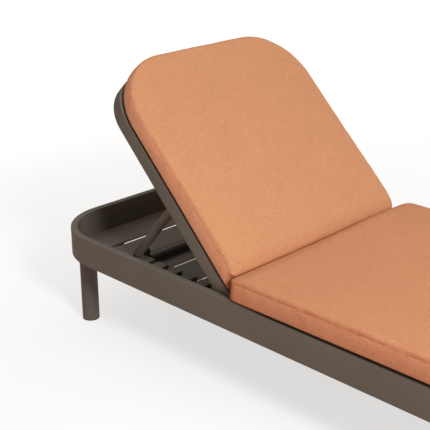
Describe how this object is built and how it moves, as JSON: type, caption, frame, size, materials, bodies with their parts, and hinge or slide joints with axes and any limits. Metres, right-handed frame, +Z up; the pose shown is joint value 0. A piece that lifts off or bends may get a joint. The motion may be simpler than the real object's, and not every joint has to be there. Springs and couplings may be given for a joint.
{
  "type": "adjustable sun lounger",
  "caption": "Low sun lounger with a rounded tubular frame on round legs, a slatted floor, a recline frame propped by a stay on notched racks, and a two-part box cushion.",
  "frame": {"origin": "on the floor, under the middle of the base frame", "axes": "+X to the foot end, +Y to the sitter's left, +Z up"},
  "size_m": [2, 0.7, 0.8147],
  "materials": {
    "powder_coat": "matte powder coat, dark taupe",
    "black_plastic": "matte",
    "steel": "zinc plated",
    "cushion_fabric": "woven outdoor fabric, terracotta"
  },
  "bodies": {
    "base": {"head_rail": "powder_coat", "foot_rail": "powder_coat", "side_rail_left": "powder_coat", "side_rail_right": "powder_coat", "corner_head_left": "powder_coat", "corner_head_right": "powder_coat", "corner_foot_left": "powder_coat", "corner_foot_right": "powder_coat", "rail_splices": "steel", "plate_head_left": "powder_coat", "plate_head_right": "powder_coat", "plate_foot_left": "powder_coat", "plate_foot_right": "powder_coat", "leg_head_left": "powder_coat", "leg_head_right": "powder_coat", "leg_foot_left": "powder_coat", "leg_foot_right": "powder_coat", "leg_plugs": "steel", "leg_bolts": "steel", "plate_screws": "steel", "leg_glides": "black_plastic", "floor_ledge_left": "powder_coat", "floor_ledge_right": "powder_coat", "floor_slat_1": "powder_coat", "floor_slat_2": "powder_coat", "floor_slat_3": "powder_coat", "floor_slat_4": "powder_coat", "floor_slat_5": "powder_coat", "floor_slat_6": "powder_coat", "cross_beam": "powder_coat", "seat_ledge_left": "powder_coat", "seat_ledge_right": "powder_coat", "seat_slat_1": "powder_coat", "seat_slat_2": "powder_coat", "seat_slat_3": "powder_coat", "seat_slat_4": "powder_coat", "seat_slat_5": "powder_coat", "rack_left": "powder_coat", "rack_right": "powder_coat", "hinge_inserts": "steel", "hinge_pins": "steel", "hinge_spacers": "black_plastic", "seat_cushion": "cushion_fabric"},
    "back": {"back_side_left": "powder_coat", "back_side_right": "powder_coat", "back_corner_left": "powder_coat", "back_corner_right": "powder_coat", "back_top_rail": "powder_coat", "back_bottom_rail": "powder_coat", "back_slat_1": "powder_coat", "back_slat_2": "powder_coat", "back_slat_3": "powder_coat", "back_slat_4": "powder_coat", "back_bushes": "black_plastic", "back_cushion": "cushion_fabric"},
    "stay": {"stay_shaft": "powder_coat", "stay_arm_left": "powder_coat", "stay_arm_right": "powder_coat", "stay_bar": "powder_coat", "stay_feet": "black_plastic"}
  },
  "joints": [
    {"name": "recline", "type": "hinge", "parent": "base", "child": "back", "pos_m": [-0.287, 0, 0.276], "axis": [0, 1, 0], "range_deg": [-45.3, 25.6]},
    {"name": "stay_swing", "type": "hinge", "parent": "back", "child": "stay", "pos_m": [-0.49802, 0, 0.48924], "axis": [0, -1, 0], "range_deg": [-94.2, 53.3]}
  ],
  "couplings": [
    {"joint": "stay_swing", "follows": "recline", "ratio": 2.0773}
  ]
}
